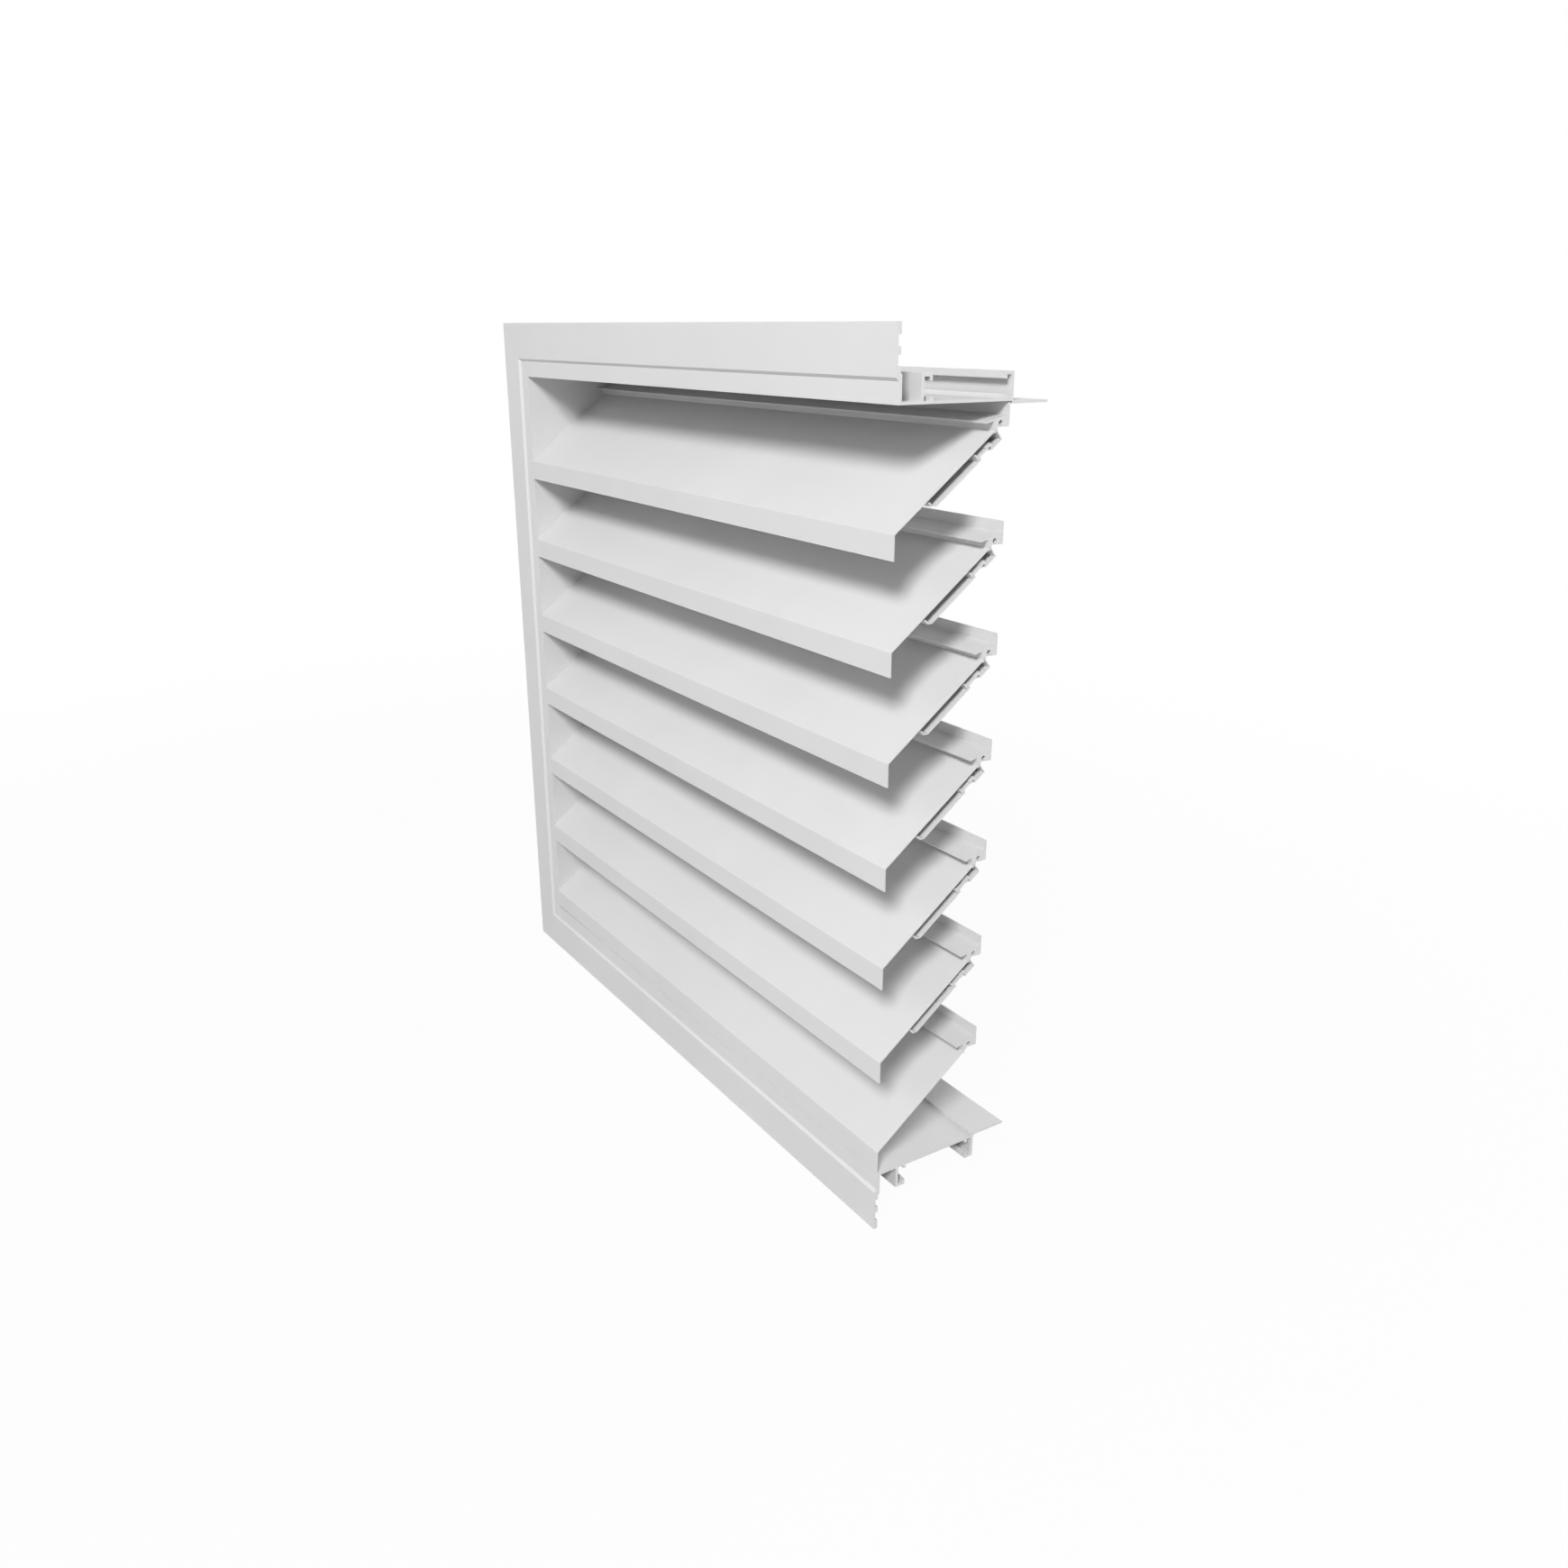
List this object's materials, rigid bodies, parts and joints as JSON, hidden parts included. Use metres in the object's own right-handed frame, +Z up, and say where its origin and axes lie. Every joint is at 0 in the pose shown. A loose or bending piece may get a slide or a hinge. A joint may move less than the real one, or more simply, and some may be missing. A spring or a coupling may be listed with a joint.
{
  "type": "cut-away sample of an extruded aluminium weather louvre",
  "caption": "Fixed weather louvre sample: mitred head, sill and left jamb with sloping rain blades, cut square and open at the right end to show its sections.",
  "frame": {"origin": "on the back of the left flange's outer rib, half way up, where the flange bears on the wall", "axes": "+X along the blades to the cut end, +Y back into the wall, +Z up"},
  "size_m": [0.822, 0.166, 0.8558],
  "materials": {
    "powder_coat": "matt pale grey powder coat on extruded aluminium",
    "mill_aluminium": "bare mill finish"
  },
  "bodies": {
    "root": {"head_frame": "powder_coat", "sill_frame": "powder_coat", "jamb_frame": "powder_coat", "head_front_cleat": "mill_aluminium", "head_rear_cleat": "mill_aluminium", "sill_front_cleat": "mill_aluminium", "sill_rear_cleat": "mill_aluminium", "blade_1": "powder_coat", "blade_2": "powder_coat", "blade_3": "powder_coat", "blade_4": "powder_coat", "blade_5": "powder_coat", "blade_6": "powder_coat", "blade_7": "powder_coat", "blade_carrier_1": "powder_coat", "blade_liner_1": "powder_coat", "blade_carrier_2": "powder_coat", "blade_liner_2": "powder_coat", "blade_carrier_3": "powder_coat", "blade_liner_3": "powder_coat", "blade_carrier_4": "powder_coat", "blade_liner_4": "powder_coat", "blade_carrier_5": "powder_coat", "blade_liner_5": "powder_coat", "blade_carrier_6": "powder_coat", "blade_liner_6": "powder_coat"}
  },
  "joints": []
}
